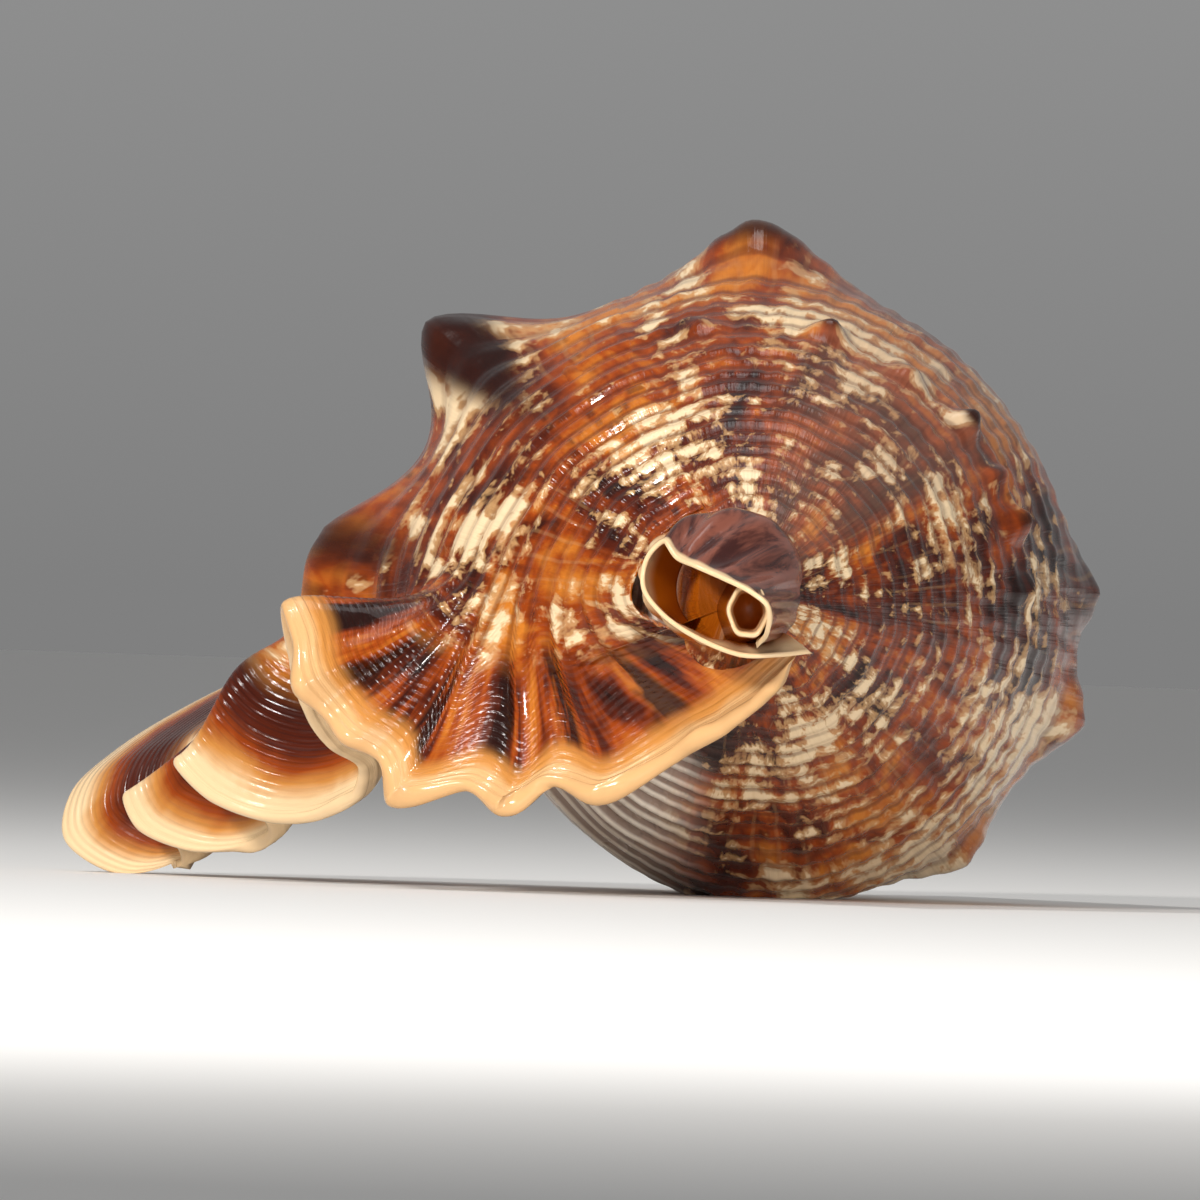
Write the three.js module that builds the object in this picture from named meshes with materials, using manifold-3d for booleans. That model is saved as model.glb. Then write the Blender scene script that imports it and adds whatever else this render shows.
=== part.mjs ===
// Spider conch shell, lying on its aperture side: one grown piece, in millimetres, +Z up.
// The coiling axis runs along Y: the siphonal canal points to -Y and the spire to +Y.
// Angles go round that axis from +X over +Z, which is the way the whorls grow.
import * as THREE from "three";
import { mergeVertices } from "three/addons/utils/BufferGeometryUtils.js";
import Module from "manifold-3d";

// Driving dimensions
const CANAL_Y = -46; // front end of the solid columella
const APEX_Y = 56; // tip of the spire
const AXIS_Z = 24.3; // height of the coiling axis
const AXIS_LEAN = 0.043; // sideways drift of the whorls, mm per mm towards the apex
const KEEL_R = 24.8; // radius of the shoulder keel one whorl behind the lip
const LIP_SWELL = 10; // how much wider the keel is at the lip
const KEEL_LIP_Y = 3; // keel position at the lip
const KEEL_TURN_Y = 11; // how far the keel climbs in the last whorl
const SPIRE_RATIO = 1.45; // each spire whorl is this much smaller than the next
const SUTURE_AT = 0.62; // where the suture lies between two keels
const SUTURE_DEPTH = 0.17; // its depth, as a share of the radius
const CALLUS = 1.7; // thickness of the callus on the underside
const CALLUS_ANGLE = 270; // degrees, its middle
const CALLUS_WIDE = 32; // degrees, its half width
const LIP_ANGLE = 200; // degrees, where the last whorl ends
const LIFT_FROM = 118; // degrees, where the outer wall starts to leave the inner whorl
const LIFT_TO = 176; // degrees, where the inner whorl is bare
const LIP_CLIMB = 12; // how far the lip's back end climbs the spire, mm
const WALL = 1.9; // thickness of the lip near the body
const WALL_EDGE = 1.1; // thickness of the lip at its margin
const ROLL = 1.9; // degrees, the lean onto the wing when the shell lies free
const MIDDLE_X = -14.15; // middle of the shell's box, which becomes the origin
const MIDDLE_Y = -1.2;

// Knobs on the keel of the last whorl: angle, height, half width, in degrees and mm
const KNOBS = [
  [92, 4.9, 12],
  [141, 7.7, 9],
  [173, 6.6, 9],
  [38, -1.0, 20],
  [1, 1.9, 7],
  [-22, 2.8, 8],
  [-54, 2.2, 9],
];

// The margin of the outer lip from the canal round to the spire: x, y, z
const MARGIN = [
  [3.9, -48, 19.4],
  [-0.8, -44, 15.2],
  [-5.3, -41, 12.4],
  [-11.7, -38, 8.9],
  [-16.0, -36, 9.8],
  [-19.2, -34.5, 7.9],
  [-22.8, -33, 9.4],
  [-27.9, -31, 8.7],
  [-29.6, -30, 11.6],
  [-32.6, -29.4, 13.8],
  [-35.3, -28.6, 17.1],
  [-36.6, -27.6, 21.2],
  [-37.9, -25, 24.2],
  [-37.4, -20.5, 20.4],
  [-36.2, -17, 15.9],
  [-34.0, -14, 12.6],
  [-31.5, -11.5, 11.0],
  [-31.8, -9.5, 8.9],
  [-34.4, -7.4, 7.2],
  [-38.8, -4.6, 6.4],
  [-43.9, -1.6, 8.1],
  [-46.8, 1.4, 11.2],
  [-43.5, 4.6, 10.0],
  [-38.8, 7, 5.8],
  [-41.0, 9, 4.0],
  [-45.5, 11, 3.6],
  [-50.0, 13.4, 5.5],
  [-51.2, 16, 8.3],
  [-48.6, 18, 6.6],
  [-46.2, 20, 3.2],
  [-51.4, 22.6, 1.5],
  [-56.2, 25, 4.4],
  [-55.8, 28, 8.5],
  [-52, 31.5, 12],
  [-44, 34, 16.5],
  [-34.5, 34, 20.5],
  [-24.5, 29.5, 24],
  [-13.4, 20.5, 25.4],
];
const FLANGE_END = 12; // the margin point at the flange's upper corner

// The lip sinks just outside its last knob: its place along the margin, depth and direction
const HOLLOW_AT = 22;
const HOLLOW = 3.2;
const HOLLOW_WAY = new THREE.Vector3(0.75, 0, -0.66);

const RAD = Math.PI / 180;
const clamp01 = (t) => Math.min(1, Math.max(0, t));
const ease = (t) => clamp01(t) ** 2 * (3 - 2 * clamp01(t));
const mix = (a, b, t) => a + (b - a) * t;
const bell = (t) => Math.exp(-t * t);

// Share of the last whorl that is grown at an angle, 0 just past the lip and 1 at the lip.
const grown = (deg) => (((deg - LIP_ANGLE) % 360) + 360) % 360 / 360;
const keelRadius = (u) => KEEL_R + LIP_SWELL * u ** 5;
const keelY = (u) => KEEL_LIP_Y + KEEL_TURN_Y * (1 - u);

// Turns back from the lip at which the keel passes a height on the spire.
function turnsAt(y) {
  const turned = KEEL_LIP_Y + KEEL_TURN_Y;
  if (y < turned) return (y - KEEL_LIP_Y) / KEEL_TURN_Y;
  return 1 + Math.log((APEX_Y - turned) / Math.max(APEX_Y - y, 0.05)) / Math.log(SPIRE_RATIO);
}

const radiusAtTurns = (n) =>
  n < 1 ? keelRadius(1 - n) : KEEL_R * SPIRE_RATIO ** (1 - n);

// The free edge of the canal's collar, a spiral that starts under the canal's right side, runs
// round below it as a curled lip and comes back over it as a hood: x, y, and z from the axis
const COLLAR = [
  [5.2, -49.5, -4.3],
  [2.4, -51, -4.6],
  [-0.6, -51.5, -4.6],
  [-4.4, -51.5, -3.1],
  [-7.2, -51, -1.1],
  [-8.6, -50.5, 1.0],
  [-8.3, -50.5, 3.4],
  [-6.8, -51.5, 4.9],
  [-5.6, -53.5, 3.5],
  [-4.2, -55.3, 2.9],
  [-1.9, -56.8, 1.9],
  [0.3, -58, 0.8],
  [1.7, -58.4, -0.4],
  [1.7, -56.5, -2.6],
  [0.7, -53, -3.9],
];
const COLLAR_FROM = 318; // degrees, where the collar's root starts
const COLLAR_TURN = 382; // degrees, how far round it runs
const COLLAR_WALL = 0.9;

// Height of the keel's knobs at an angle and a distance along the axis from the keel.
function knobs(deg, fromKeel) {
  let height = 0;
  for (const [at, high, wide] of KNOBS) {
    const turn = Math.abs(((deg - at + 540) % 360) - 180) / wide;
    const along = Math.abs(fromKeel) / (3 + 0.55 * high);
    height += high * Math.exp(-(turn ** 1.7) - along ** 1.7);
  }
  return height;
}

// Radius in front of the keel, as a share of the keel's, from the canal (0) to the keel (1).
const cone = (t) => 0.15 + 0.85 * Math.sin((Math.PI / 2) * t ** 0.96) ** 0.98;

// Extra thickness of the callus on the underside, which carries the shell when it lies free.
function callus(deg, t) {
  const turn = (((deg - CALLUS_ANGLE + 540) % 360) - 180) / CALLUS_WIDE;
  return CALLUS * bell(turn) * bell((t - 0.72) / 0.2);
}

// Radius of the whorls at an angle and a height. "bare" takes the last whorl's outer wall off.
function whorl(deg, y, bare) {
  const u = grown(deg);
  const keel = mix(keelY(u), KEEL_LIP_Y + KEEL_TURN_Y, bare);
  const radius = mix(keelRadius(u), KEEL_R, bare);
  const knob = knobs(deg, y - keel) * (1 - bare);
  if (y <= keel) {
    const t = (y - CANAL_Y) / (keel - CANAL_Y);
    return radius * cone(t) + callus(deg, t) + knob;
  }
  const turns = turnsAt(y);
  const from = mix(1 - u, 1, bare);
  const between = (turns - from) - Math.floor(turns - from);
  const dip = between < SUTURE_AT
    ? (between / SUTURE_AT) ** 1.3
    : ((1 - between) / (1 - SUTURE_AT)) ** 0.8;
  return radiusAtTurns(turns) * (1 - SUTURE_DEPTH * dip) + knob;
}

function place(deg, radius, y) {
  return new THREE.Vector3(
    radius * Math.cos(deg * RAD) + AXIS_LEAN * (y - CANAL_Y),
    y,
    AXIS_Z + radius * Math.sin(deg * RAD),
  );
}

// A closed body from rings of points between two end points.
function ringSolid(rings, first, last) {
  const points = [first, ...rings.flat(), last];
  const around = rings[0].length;
  const faces = [];
  for (let i = 0; i < around; i++) {
    const next = (i + 1) % around;
    faces.push(0, 1 + i, 1 + next);
    for (let k = 0; k < rings.length - 1; k++) {
      const a = 1 + k * around;
      const b = a + around;
      faces.push(a + i, b + i, b + next, a + i, b + next, a + next);
    }
    const end = 1 + (rings.length - 1) * around;
    faces.push(end + next, end + i, points.length - 1);
  }
  return { points, faces };
}

// The solid whorls: columella, inner body whorl and spire.
function makeWhorls() {
  const around = 60;
  const rings = [];
  const front = 14;
  const back = 15;
  for (let k = 0; k <= front + back; k++) {
    const ring = [];
    for (let i = 0; i < around; i++) {
      const deg = (360 * i) / around;
      const bare = ease((deg - LIFT_FROM) / (LIFT_TO - LIFT_FROM)) * (deg < LIP_ANGLE ? 1 : 0);
      const keel = mix(keelY(grown(deg)), KEEL_LIP_Y + KEEL_TURN_Y, bare);
      const t = k < front ? (k + 0.4) / front : (k - front) / (back + 1);
      const y = k < front
        ? mix(CANAL_Y, keel, t)
        : mix(keel, APEX_Y, 1 - (1 - t) ** 1.35);
      ring.push(place(deg, whorl(deg, y, bare), y));
    }
    rings.push(ring);
  }
  return ringSolid(rings, place(0, 0, CANAL_Y), place(0, 0, APEX_Y));
}


// Catmull-Rom point on a list of margin points, at a fractional index.
const margin = new THREE.CatmullRomCurve3(
  MARGIN.map(([x, y, z]) => new THREE.Vector3(x, y, z)), false, "centripetal");
const marginPoint = (v) => margin.getPoint(v);

// Where the growth line that ends at a margin point leaves the body: 0 canal, 1 keel, 2 suture.
function rootLine(v) {
  const flange = FLANGE_END / (MARGIN.length - 1);
  if (v < flange) return mix(0.1, 0.52, (v / flange) ** 0.8);
  return mix(0.52, 2, ((v - flange) / (1 - flange)) ** 1.15);
}

// A point of the last whorl's outer wall, on a growth line and at an angle.
function wallPoint(line, deg) {
  const u = grown(deg);
  const suture = KEEL_LIP_Y + KEEL_TURN_Y * (1 - u + SUTURE_AT);
  const y = line < 1 ? mix(CANAL_Y, keelY(u), line) : mix(keelY(u), suture, line - 1);
  const climb = LIP_CLIMB * ease((deg - LIFT_FROM) / (LIP_ANGLE - LIFT_FROM));
  return place(deg, whorl(deg, y, 0), y + climb * Math.max(0, line - 1));
}

// The outer lip's upper face: along the wall from angle LIFT_FROM, then out to the margin.
// Depth of the hollow outside the last knob, t of the way out from the wall.
function hollow(v, t) {
  const at = v * (MARGIN.length - 1);
  return HOLLOW * bell((t - 0.27) / 0.17) * bell((at - HOLLOW_AT) / 4);
}

function lipPoint(v, w) {
  const line = rootLine(v);
  const leave = 172;
  const onWall = 0.5;
  if (w < onWall) {
    const point = wallPoint(line, mix(LIFT_FROM - 2, leave, w / onWall));
    const sunk = w === 0 ? 0.006 : -0.0015;
    const axis = place(0, 0, point.y);
    return point.lerp(axis, sunk);
  }
  const start = wallPoint(line, leave);
  const heading = start.clone().sub(wallPoint(line, leave - 3)).normalize();
  const end = marginPoint(v);
  const reach = start.distanceTo(end);
  const t = (w - onWall) / (1 - onWall);
  const near = start.clone().addScaledVector(heading, reach * 0.38);
  const outward = new THREE.Vector3(-0.55, mix(-0.4, 0.5, v), mix(-0.45, -0.3, v));
  const far = end.clone().addScaledVector(outward, -0.3 * reach);
  const point = new THREE.CubicBezierCurve3(start, near, far, end).getPoint(t);
  return point.addScaledVector(HOLLOW_WAY, hollow(v, t));
}

// A sheet with a thickness, thick at its root and thin at its free edge, as a closed body.
function sheetSolid(point, columns, rows, thick, thin) {
  const top = [];
  const under = [];
  const d = 1e-3;
  for (let i = 0; i <= columns; i++) {
    for (let k = 0; k <= rows; k++) {
      const v = i / columns;
      const w = k / rows;
      const here = point(v, w);
      const alongV = point(Math.min(1, v + d), w).sub(point(Math.max(0, v - d), w));
      const alongW = point(v, Math.min(1, w + d)).sub(point(v, Math.max(0, w - d)));
      const across = alongV.cross(alongW).normalize();
      top.push(here);
      under.push(here.clone().addScaledVector(across, mix(thick, thin, w)));
    }
  }
  const row = rows + 1;
  const count = top.length;
  const faces = [];
  const quad = (a, b, c, e) => faces.push(a, b, c, a, c, e);
  for (let i = 0; i < columns; i++) {
    for (let k = 0; k < rows; k++) {
      const a = i * row + k;
      quad(a, a + 1, a + row + 1, a + row);
      quad(count + a, count + a + row, count + a + row + 1, count + a + 1);
    }
    const a = i * row;
    const b = a + rows;
    quad(a, a + row, count + a + row, count + a);
    quad(b, count + b, count + b + row, b + row);
  }
  for (let k = 0; k < rows; k++) {
    const a = k;
    const b = columns * row + k;
    quad(a, count + a, count + a + 1, a + 1);
    quad(b, b + 1, count + b + 1, count + b);
  }
  return { points: [...top, ...under], faces };
}

const collarEdge = new THREE.CatmullRomCurve3(
  COLLAR.map(([x, y, z]) => new THREE.Vector3(x, y, AXIS_Z + z)), false, "centripetal");

// The collar's outer face, from the columella (w = 0) to its free edge (w = 1).
function collarPoint(v, w) {
  const deg = COLLAR_FROM - COLLAR_TURN * v;
  const top = ease(0.5 + 0.5 * Math.cos((deg - 130) * RAD)) ** 1.5;
  const start = place(deg, mix(4.6, 6.8, top), CANAL_Y + 2.5);
  const near = place(deg, mix(3.6, 9.2, top), CANAL_Y - 1);
  const end = collarEdge.getPoint(v);
  const far = end.clone().add(new THREE.Vector3(0, 2.4, 0)).lerp(near, 0.25);
  return new THREE.CubicBezierCurve3(start, near, far, end).getPoint(w);
}

// The small open tube at the middle of the collar, the end of the columella.
function makeTube() {
  const around = 16;
  const profile = [[1.5, 1], [1, -2], [0.96, -9.3], [0.78, -9.3], [0.62, -4]];
  const centre = place(0, 0, CANAL_Y);
  const rings = profile.map(([size, along]) =>
    Array.from({ length: around }, (_, i) => new THREE.Vector3(
      centre.x + 1.75 * size * Math.cos(i / around * 2 * Math.PI),
      CANAL_Y + along,
      AXIS_Z - 0.9 + 2.25 * size * Math.sin(i / around * 2 * Math.PI),
    )));
  const first = new THREE.Vector3(centre.x, CANAL_Y + 1.4, AXIS_Z - 0.9);
  return ringSolid(rings, first, new THREE.Vector3(centre.x, CANAL_Y - 3.8, AXIS_Z - 0.9));
}

// Turns points and faces into a manifold solid, facing out.
function solidOf(wasm, { points, faces }) {
  const geometry = new THREE.BufferGeometry().setFromPoints(points);
  geometry.setIndex(faces);
  const merged = mergeVertices(geometry, 1e-4);
  const mesh = (triVerts) => new wasm.Manifold(new wasm.Mesh({
    numProp: 3,
    vertProperties: merged.attributes.position.array,
    triVerts,
  }));
  const solid = mesh(new Uint32Array(merged.index.array));
  return solid.volume() > 0 ? solid : mesh(new Uint32Array(merged.index.array).reverse());
}

// Leans the shell onto its wing and wears its underside flat where it lies.
function settle(solid) {
  const mesh = solid.getMesh();
  const positions = new Float32Array(mesh.vertProperties);
  const geometry = new THREE.BufferGeometry();
  geometry.setAttribute("position", new THREE.BufferAttribute(positions, 3));
  geometry.setIndex(new THREE.BufferAttribute(new Uint32Array(mesh.triVerts), 1));
  geometry.rotateY(-ROLL * RAD);
  geometry.translate(-MIDDLE_X, -MIDDLE_Y, 0);
  for (let i = 2; i < positions.length; i += 3) positions[i] = Math.max(positions[i], 0);
  return geometry;
}

const wasm = await Module();
wasm.setup();
const solid = solidOf(wasm, makeWhorls())
  .add(solidOf(wasm, sheetSolid(lipPoint, 72, 12, -WALL, -WALL_EDGE)))
  .add(solidOf(wasm, sheetSolid(collarPoint, 36, 4, COLLAR_WALL, COLLAR_WALL * 0.7)))
  .add(solidOf(wasm, makeTube()));
const filled = solid.decompose()
  .filter((body) => body.volume() > 0) // a pocket shut inside the wall is filled
  .reduce((all, body) => all.add(body));
const shell = new THREE.Mesh(
  settle(filled),
  new THREE.MeshStandardMaterial({ color: 0x7a3a18, roughness: 0.3, metalness: 0 }),
);
shell.name = "shell";
const group = new THREE.Group();
group.add(shell);
export default group;
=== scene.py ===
import math

import bpy
import numpy as np
from mathutils import Matrix, Vector


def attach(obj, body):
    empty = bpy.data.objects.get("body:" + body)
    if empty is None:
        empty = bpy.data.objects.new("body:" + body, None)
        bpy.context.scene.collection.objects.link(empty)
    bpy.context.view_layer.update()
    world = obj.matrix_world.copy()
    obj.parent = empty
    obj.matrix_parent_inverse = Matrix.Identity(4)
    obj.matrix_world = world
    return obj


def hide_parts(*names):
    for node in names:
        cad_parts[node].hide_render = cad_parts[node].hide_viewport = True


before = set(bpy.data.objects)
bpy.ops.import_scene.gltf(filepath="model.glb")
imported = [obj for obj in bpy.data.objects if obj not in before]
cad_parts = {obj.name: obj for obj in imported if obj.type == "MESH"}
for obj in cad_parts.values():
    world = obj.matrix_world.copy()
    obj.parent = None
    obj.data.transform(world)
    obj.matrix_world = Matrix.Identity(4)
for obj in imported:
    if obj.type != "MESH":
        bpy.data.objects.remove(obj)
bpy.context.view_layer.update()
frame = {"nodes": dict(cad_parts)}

bl_info = {
    "name": "Spider Conch Shell",
    "version": (1, 0, 0),
    "blender": (4, 5, 0),
    "location": "View3D > Sidebar > Shell",
    "description": "Grows a spider conch shell over its packed solid and lights it",
    "category": "Add Mesh",
}

MM = 0.001

# The form's driving dimensions, in millimetres and degrees. The coiling axis runs along Y,
# and angles go round it from +X over +Z, which is the way the whorls grow.
CANAL_Y = -46.0
APEX_Y = 56.0
AXIS_Z = 24.3
AXIS_LEAN = 0.043
KEEL_R = 24.8
LIP_SWELL = 10.0
KEEL_LIP_Y = 3.0
KEEL_TURN_Y = 11.0
SPIRE_RATIO = 1.45
SUTURE_AT = 0.62
SUTURE_DEPTH = 0.17
CALLUS = 1.7
CALLUS_ANGLE = 270.0
CALLUS_WIDE = 32.0
LIP_ANGLE = 200.0
LIFT_FROM = 118.0
LIFT_TO = 176.0
LIP_CLIMB = 12.0
WALL = 1.9
WALL_EDGE = 1.1
ROLL = 1.9
MIDDLE_X = -14.15
MIDDLE_Y = -1.2

# Knobs on the keel of the last whorl: angle, height, half width
KNOBS = [
    (92, 4.9, 12), (141, 7.7, 9), (173, 6.6, 9), (38, -1.0, 20),
    (1, 1.9, 7), (-22, 2.8, 8), (-54, 2.2, 9),
]

# The margin of the outer lip from the canal round to the spire: x, y, z
MARGIN = np.array([
    (3.9, -48, 19.4), (-0.8, -44, 15.2), (-5.3, -41, 12.4), (-11.7, -38, 8.9),
    (-16.0, -36, 9.8), (-19.2, -34.5, 7.9), (-22.8, -33, 9.4), (-27.9, -31, 8.7),
    (-29.6, -30, 11.6), (-32.6, -29.4, 13.8), (-35.3, -28.6, 17.1), (-36.6, -27.6, 21.2),
    (-37.9, -25, 24.2), (-37.4, -20.5, 20.4), (-36.2, -17, 15.9), (-34.0, -14, 12.6),
    (-31.5, -11.5, 11.0), (-31.8, -9.5, 8.9), (-34.4, -7.4, 7.2), (-38.8, -4.6, 6.4),
    (-43.9, -1.6, 8.1), (-46.8, 1.4, 11.2), (-43.5, 4.6, 10.0), (-38.8, 7, 5.8),
    (-41.0, 9, 4.0), (-45.5, 11, 3.6), (-50.0, 13.4, 5.5), (-51.2, 16, 8.3),
    (-48.6, 18, 6.6), (-46.2, 20, 3.2), (-51.4, 22.6, 1.5), (-56.2, 25, 4.4),
    (-55.8, 28, 8.5), (-52, 31.5, 12), (-44, 34, 16.5), (-34.5, 34, 20.5),
    (-24.5, 29.5, 24), (-13.4, 20.5, 25.4),
], float)
FLANGE_END = 12

# The free edge of the canal's collar: x, y, and z from the axis
COLLAR = np.array([
    (5.2, -49.5, -4.3), (2.4, -51, -4.6), (-0.6, -51.5, -4.6), (-4.4, -51.5, -3.1),
    (-7.2, -51, -1.1), (-8.6, -50.5, 1.0), (-8.3, -50.5, 3.4), (-6.8, -51.5, 4.9),
    (-5.6, -53.5, 3.5), (-4.2, -55.3, 2.9), (-1.9, -56.8, 1.9), (0.3, -58, 0.8),
    (1.7, -58.4, -0.4), (1.7, -56.5, -2.6), (0.7, -53, -3.9),
], float) + (0, 0, AXIS_Z)
COLLAR_FROM = 318.0
COLLAR_TURN = 382.0
COLLAR_WALL = 0.9


def ease(t):
    t = np.clip(t, 0, 1)
    return t * t * (3 - 2 * t)


def mix(a, b, t):
    return a + (b - a) * t


def bell(t):
    return np.exp(-t * t)


def from_angle(deg, at):
    return (deg - at + 540.0) % 360.0 - 180.0


def grown(deg):
    """Share of the last whorl that is grown at an angle: 0 just past the lip, 1 at the lip."""
    return ((deg - LIP_ANGLE) % 360.0) / 360.0


def keel_radius(u):
    return KEEL_R + LIP_SWELL * u ** 5


def keel_y(u):
    return KEEL_LIP_Y + KEEL_TURN_Y * (1 - u)


def cone(t):
    t = np.clip(t, 0, 1)
    return 0.15 + 0.85 * np.sin(math.pi / 2 * t ** 0.96) ** 0.98


def turns_at(y):
    """Turns back from the lip at which the keel passes a place along the axis."""
    turned = KEEL_LIP_Y + KEEL_TURN_Y
    near = (y - KEEL_LIP_Y) / KEEL_TURN_Y
    left = np.maximum(APEX_Y - y, 0.05)
    far = 1 + np.log((APEX_Y - turned) / left) / math.log(SPIRE_RATIO)
    return np.where(y < turned, near, far)


def radius_at_turns(n):
    last = keel_radius(np.clip(1 - n, 0, 1))
    return np.where(n < 1, last, KEEL_R * SPIRE_RATIO ** (1 - n))


def knobs(deg, from_keel):
    height = 0.0
    for at, high, wide in KNOBS:
        turn = np.abs(from_angle(deg, at)) / wide
        along = np.abs(from_keel) / (3 + 0.55 * high)
        height = height + high * np.exp(-turn ** 1.7 - along ** 1.7)
    return height


def callus(deg, t):
    turn = from_angle(deg, CALLUS_ANGLE) / CALLUS_WIDE
    return CALLUS * np.exp(-turn ** 2 - ((t - 0.72) / 0.2) ** 2)


def whorl(deg, y, bare):
    """Smooth radius of the whorls, and how far behind the last keel the place lies, in whorls."""
    u = grown(deg)
    keel = mix(keel_y(u), KEEL_LIP_Y + KEEL_TURN_Y, bare)
    radius = mix(keel_radius(u), KEEL_R, bare)
    knob = knobs(deg, y - keel) * (1 - bare)
    t = (y - CANAL_Y) / (keel - CANAL_Y)
    front = radius * cone(t) + callus(deg, t) + knob
    turns = turns_at(y)
    behind = turns - mix(1 - u, 1, bare)
    between = behind - np.floor(behind)
    rising = (between / SUTURE_AT) ** 1.3
    falling = (np.maximum(1 - between, 0) / (1 - SUTURE_AT)) ** 0.8
    dip = np.where(between < SUTURE_AT, rising, falling)
    back = radius_at_turns(turns) * (1 - SUTURE_DEPTH * dip) + knob
    return np.where(y <= keel, front, back), np.where(y <= keel, t - 1, behind)


def place(deg, radius, y):
    a, radius, y = np.broadcast_arrays(np.radians(deg), radius, y)
    x = radius * np.cos(a) + AXIS_LEAN * (y - CANAL_Y)
    return np.stack([x, y, AXIS_Z + radius * np.sin(a)], -1)


def through(points, t):
    """Centripetal Catmull-Rom curve through points, at shares t of the list's length."""
    first, last = 2 * points[0] - points[1], 2 * points[-1] - points[-2]
    p = np.vstack([first, points, last])
    at = np.clip(t, 0, 1) * (len(points) - 1)
    i = np.minimum(at.astype(int), len(points) - 2)
    s = (at - i)[..., None]
    a, b, c, d = p[i], p[i + 1], p[i + 2], p[i + 3]
    gap = [np.sqrt(np.linalg.norm(m - n, axis=-1, keepdims=True)) for m, n in ((a, b), (b, c), (c, d))]
    t1 = ((b - a) / gap[0] - (c - a) / (gap[0] + gap[1]) + (c - b) / gap[1]) * gap[1]
    t2 = ((c - b) / gap[1] - (d - b) / (gap[1] + gap[2]) + (d - c) / gap[2]) * gap[1]
    return b + s * (t1 + s * ((3 * (c - b) - 2 * t1 - t2) + s * (2 * (b - c) + t1 + t2)))


def bezier(a, b, c, d, t):
    s = 1 - t
    return a * s ** 3 + 3 * b * s * s * t + 3 * c * s * t * t + d * t ** 3


def unit(v):
    return v / np.maximum(np.linalg.norm(v, axis=-1, keepdims=True), 1e-9)


def settle(points):
    """Leans the shell onto its wing, wears its underside flat and puts it over the origin."""
    a = math.radians(-ROLL)
    x = points[..., 0] * math.cos(a) + points[..., 2] * math.sin(a)
    z = -points[..., 0] * math.sin(a) + points[..., 2] * math.cos(a)
    return np.stack([x - MIDDLE_X, points[..., 1] - MIDDLE_Y, np.maximum(z, 0)], -1) * MM


# ---------------------------------------------------------------- relief

CORDS = 27

# Small nodules on a cord of the last whorl in front of the keel: angle, height
NODULES = [(131, 1.2), (103, 0.8), (76, 1.6), (57, 1.0), (41, 1.9), (28, 0.9), (17, 1.6), (2, 0.8)]
NODULE_LINE = 0.6
PARIETAL_ANGLE = 228.0


def nodules(deg, t):
    """Share of a nodule's height, in millimetres, on the row of nodules."""
    total = 0.0
    for at, high in NODULES:
        total = total + high * bell(from_angle(deg, at) / 3.6) * bell((t - NODULE_LINE) / 0.03)
    return total


def cord_number(deg, t, behind):
    """Counts the spiral cords from the canal: whole numbers are the grooves between them."""
    a = np.radians(deg)
    wander = 0.22 * np.sin(3 * a + 1) + 0.14 * np.sin(7 * a) + 0.08 * np.sin(16 * a + 2)
    front = CORDS * (0.7 * cone(t) + 0.3 * np.clip(t, 0, 1))
    return np.where(behind <= 0, front, CORDS + 7 * behind) + wander


def cord_height(number):
    """Height of the rounded cords over their grooves, from 0 to 1."""
    wave = 0.5 - 0.5 * np.cos(2 * math.pi * number)
    strong = 0.72 + 0.28 * np.cos(2 * math.pi * np.floor(number) / 3)
    return wave ** 0.6 * strong


# ---------------------------------------------------------------- meshes


def nothing_selected():
    if bpy.context.mode != "OBJECT":
        bpy.ops.object.mode_set(mode="OBJECT")
    bpy.ops.object.select_all(action="DESELECT")


def skin_of(name, points, marks):
    """Wraps a primitive grid over points (rows, columns, 3) and keeps each mark as an attribute."""
    rows, columns = points.shape[:2]
    nothing_selected()
    bpy.ops.mesh.primitive_grid_add(x_subdivisions=columns - 1, y_subdivisions=rows - 1, calc_uvs=False)
    piece = bpy.context.active_object
    piece.name = piece.data.name = name
    mesh = piece.data
    if len(mesh.vertices) != rows * columns:
        raise RuntimeError(f"{name}: the grid has {len(mesh.vertices)} points, not {rows * columns}")
    mesh.vertices.foreach_set("co", settle(points).astype(np.float32).ravel())
    for mark, values in marks.items():
        layer = mesh.attributes.new(mark, "FLOAT", "POINT")
        full = np.broadcast_to(values, (rows, columns)).astype(np.float32)
        layer.data.foreach_set("value", np.ascontiguousarray(full).ravel())
    piece.location = (0, 0, 0)
    bpy.ops.object.mode_set(mode="EDIT")
    bpy.ops.mesh.select_all(action="SELECT")
    bpy.ops.mesh.remove_doubles(threshold=2e-6)
    bpy.ops.mesh.normals_make_consistent(inside=False)
    bpy.ops.object.mode_set(mode="OBJECT")
    bpy.ops.object.shade_smooth()
    return piece


def keep(piece, material):
    piece.data.materials.clear()
    piece.data.materials.append(material)
    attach(piece, "root")
    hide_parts("shell")


def whorl_lines(form):
    """Angle, place along the axis, keel and bareness at each grid point of the whorls."""
    front = np.linspace(0, 1, form.rows)
    back = 1 - (1 - np.linspace(0, 1, int(form.rows * 0.62))[1:]) ** 1.3
    share = np.linspace(0, 1, form.columns + 1)[None, :]
    angle = LIP_ANGLE + 360 * np.minimum(share, 1 - 1e-9)
    lifting = ease((angle % 360 - LIFT_FROM) / (LIFT_TO - LIFT_FROM))
    bare = np.where(angle % 360 < LIP_ANGLE - 1e-6, lifting, 0.0)
    keel = mix(keel_y(grown(angle)), KEEL_LIP_Y + KEEL_TURN_Y, bare)
    y = np.vstack([mix(CANAL_Y, keel, t) for t in front] + [mix(keel, APEX_Y, t) for t in back])
    return [np.broadcast_to(each, y.shape) for each in (angle, y, keel, bare)]


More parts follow.
